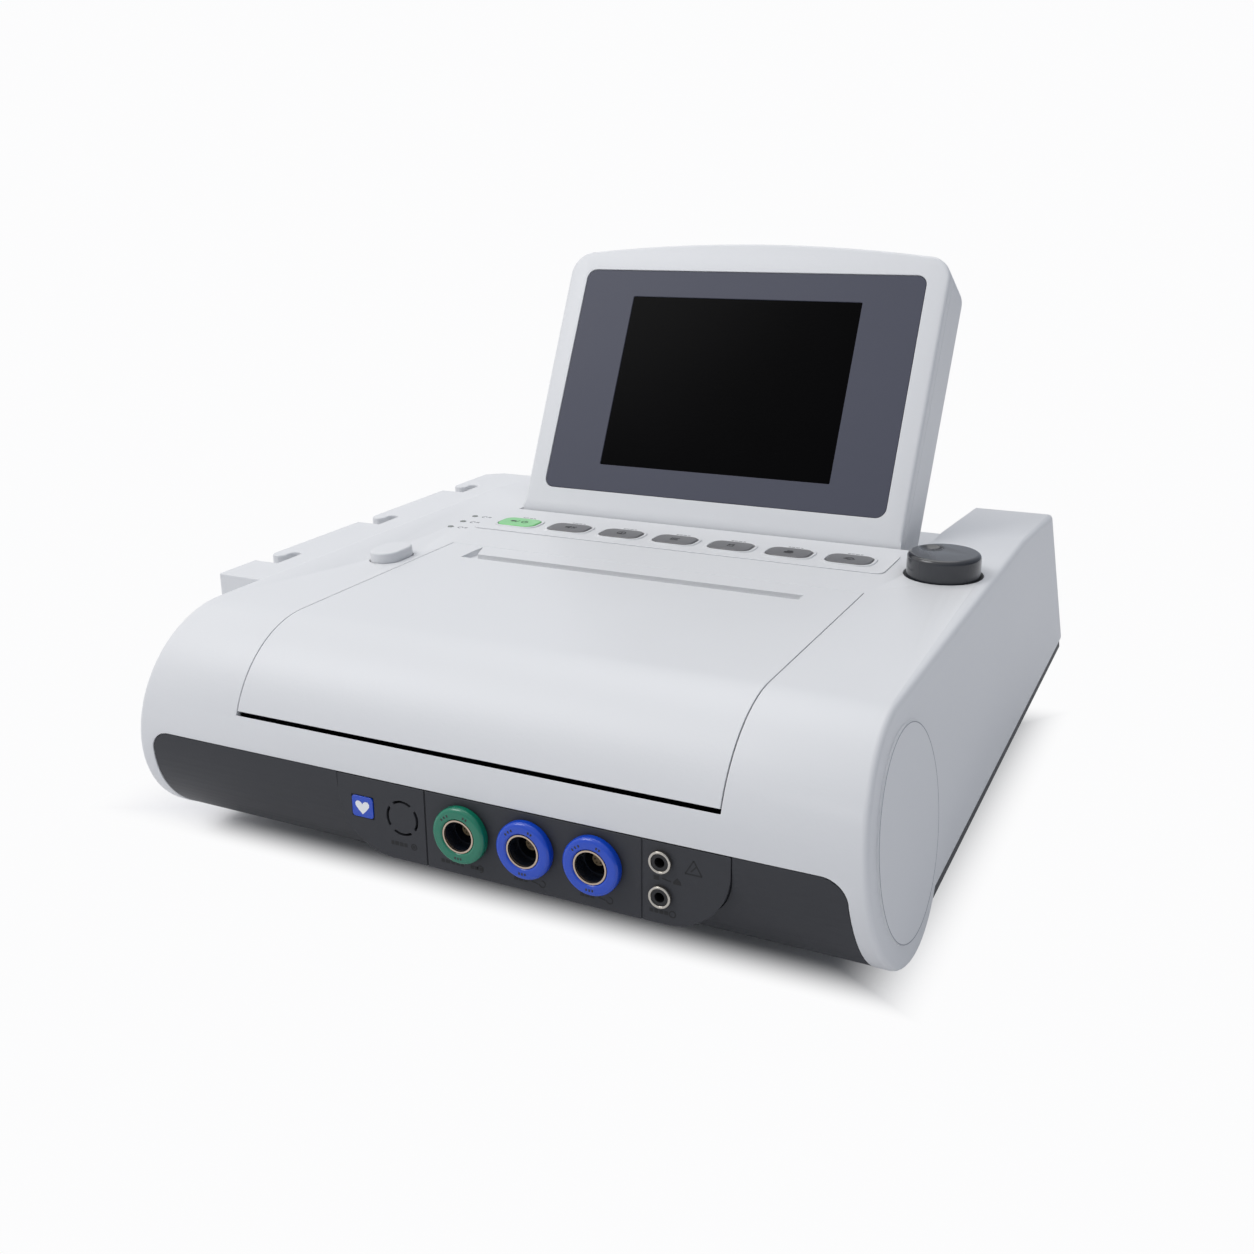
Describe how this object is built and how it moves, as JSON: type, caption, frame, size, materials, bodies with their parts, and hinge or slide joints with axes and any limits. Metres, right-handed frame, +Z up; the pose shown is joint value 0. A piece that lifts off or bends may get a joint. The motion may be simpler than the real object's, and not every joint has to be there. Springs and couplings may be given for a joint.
{
  "type": "fetal monitor and chart recorder",
  "caption": "Low ward monitor with a rolled nose, tilting display, chart paper door and slot, row of keys, push knob, coloured round sensor sockets and a side shelf for probe holders.",
  "frame": {"origin": "centre of the outer box, on the table under the feet", "axes": "+X to the right as seen from the front, +Y towards the back, +Z up"},
  "size_m": [0.3312, 0.351, 0.233],
  "materials": {
    "case_white": "fine texture",
    "case_dark": "fine texture",
    "band": "fine texture",
    "mask": "satin",
    "display": "gloss",
    "key_green": "satin",
    "key_grey": "satin",
    "knob": "gloss",
    "ring_green": "gloss",
    "ring_blue": "gloss",
    "nickel": "satin",
    "insert": "matt",
    "board": "satin",
    "steel": "satin",
    "zinc": "satin",
    "brass": "satin",
    "rubber": "matt",
    "tray": "matt",
    "paper": "matt",
    "black": "matt",
    "lens": "gloss",
    "gear": "satin",
    "wrap": "satin",
    "back_panel": "satin"
  },
  "bodies": {
    "base": {"upper_case": "case_white", "lower_case": "case_dark", "front_band": "band", "socket_plate": "band", "key_strip": "case_white", "rear_panel": "back_panel", "transducer_shelf": "case_white", "battery_cover": "case_dark", "feet": "rubber", "door_hinge_pins": "steel", "release_spring": "steel", "encoder_body": "black", "hinge_brackets": "zinc", "socket_ring_green": "ring_green", "socket_rings_blue": "ring_blue", "socket_shells": "nickel", "socket_cores": "insert", "socket_board": "board", "jack_bodies": "black", "jack_nuts": "nickel", "emblem_plate": "ring_blue", "led_windows": "lens", "key_board": "board", "main_board": "board", "power_supply": "zinc", "printer_chassis": "steel", "print_head": "insert", "stepper_motor": "zinc", "paper_tray": "tray", "paper_pack": "paper", "battery_pack": "wrap", "speaker": "black", "mains_inlet": "black", "case_screws": "steel", "earth_stud": "brass"},
    "screen": {"screen_front": "case_white", "screen_back": "case_white", "screen_mask": "mask", "lcd_glass": "display", "lcd_module": "zinc", "display_board": "board", "screen_screws": "steel", "hinge_pins": "steel"},
    "door": {"paper_door": "case_white"},
    "platen": {"platen_roller": "rubber", "platen_gear": "gear"},
    "motor_shaft": {"motor_pinion": "brass"},
    "release": {"release_button": "case_white"},
    "latch": {"door_latch": "black"},
    "knob_stem": {"encoder_plunger": "black"},
    "knob": {"knob_cap": "knob", "knob_shaft": "steel"},
    "rocker": {"power_rocker": "black"},
    "start_key": {"key_start": "key_green"},
    "key_body_1": {"key_1": "key_grey"},
    "key_body_2": {"key_2": "key_grey"},
    "key_body_3": {"key_3": "key_grey"},
    "key_body_4": {"key_4": "key_grey"},
    "key_body_5": {"key_5": "key_grey"},
    "key_body_6": {"key_6": "key_grey"}
  },
  "joints": [
    {"name": "screen_tilt", "type": "hinge", "parent": "base", "child": "screen", "pos_m": [0.00837, 0.06671, 0.10165], "axis": [-1, 0, 0], "range_deg": [-26.6, 63.4]},
    {"name": "door_open", "type": "hinge", "parent": "base", "child": "door", "pos_m": [0.01237, -0.15941, 0.074], "axis": [1, 0, 0], "range_deg": [0, 100]},
    {"name": "platen_spin", "type": "hinge", "parent": "door", "child": "platen", "pos_m": [0.01237, -0.0468, 0.09115], "axis": [1, 0, 0], "continuous": true},
    {"name": "motor_spin", "type": "hinge", "parent": "base", "child": "motor_shaft", "pos_m": [0.10187, -0.0468, 0.07983], "axis": [1, 0, 0], "continuous": true},
    {"name": "release_press", "type": "slide", "parent": "base", "child": "release", "axis": [0, 0.022, -0.9998], "range_m": [0, 0.0025], "stiffness_N_per_m": 600, "springref_m": -0.001, "deforming": ["release_spring"]},
    {"name": "latch_slide", "type": "slide", "parent": "base", "child": "latch", "axis": [-1, 0, 0], "range_m": [0, 0.0025]},
    {"name": "start_press", "type": "slide", "parent": "base", "child": "start_key", "axis": [0, 0.022, -0.9998], "range_m": [0, 0.0008], "stiffness_N_per_m": 400, "springref_m": -0.0006},
    {"name": "key_1_press", "type": "slide", "parent": "base", "child": "key_body_1", "axis": [0, 0.022, -0.9998], "range_m": [0, 0.0008], "stiffness_N_per_m": 400, "springref_m": -0.0006},
    {"name": "key_2_press", "type": "slide", "parent": "base", "child": "key_body_2", "axis": [0, 0.022, -0.9998], "range_m": [0, 0.0008], "stiffness_N_per_m": 400, "springref_m": -0.0006},
    {"name": "key_3_press", "type": "slide", "parent": "base", "child": "key_body_3", "axis": [0, 0.022, -0.9998], "range_m": [0, 0.0008], "stiffness_N_per_m": 400, "springref_m": -0.0006},
    {"name": "key_4_press", "type": "slide", "parent": "base", "child": "key_body_4", "axis": [0, 0.022, -0.9998], "range_m": [0, 0.0008], "stiffness_N_per_m": 400, "springref_m": -0.0006},
    {"name": "key_5_press", "type": "slide", "parent": "base", "child": "key_body_5", "axis": [0, 0.022, -0.9998], "range_m": [0, 0.0008], "stiffness_N_per_m": 400, "springref_m": -0.0006},
    {"name": "key_6_press", "type": "slide", "parent": "base", "child": "key_body_6", "axis": [0, 0.022, -0.9998], "range_m": [0, 0.0008], "stiffness_N_per_m": 400, "springref_m": -0.0006},
    {"name": "knob_press", "type": "slide", "parent": "base", "child": "knob_stem", "axis": [0, 0.022, -0.9998], "range_m": [0, 0.0006], "stiffness_N_per_m": 2000, "springref_m": -0.0003},
    {"name": "knob_turn", "type": "hinge", "parent": "knob_stem", "child": "knob", "pos_m": [0.13307, 0.0195, 0.10321], "axis": [0, -0.022, 0.9998], "continuous": true},
    {"name": "rocker_flip", "type": "hinge", "parent": "base", "child": "rocker", "pos_m": [-0.03063, 0.16543, 0.05999], "axis": [1, 0, 0], "range_deg": [0, 20]}
  ],
  "couplings": [
    {"joint": "motor_spin", "follows": "platen_spin", "ratio": -1.3333},
    {"joint": "latch_slide", "follows": "release_press", "ratio": 1}
  ]
}
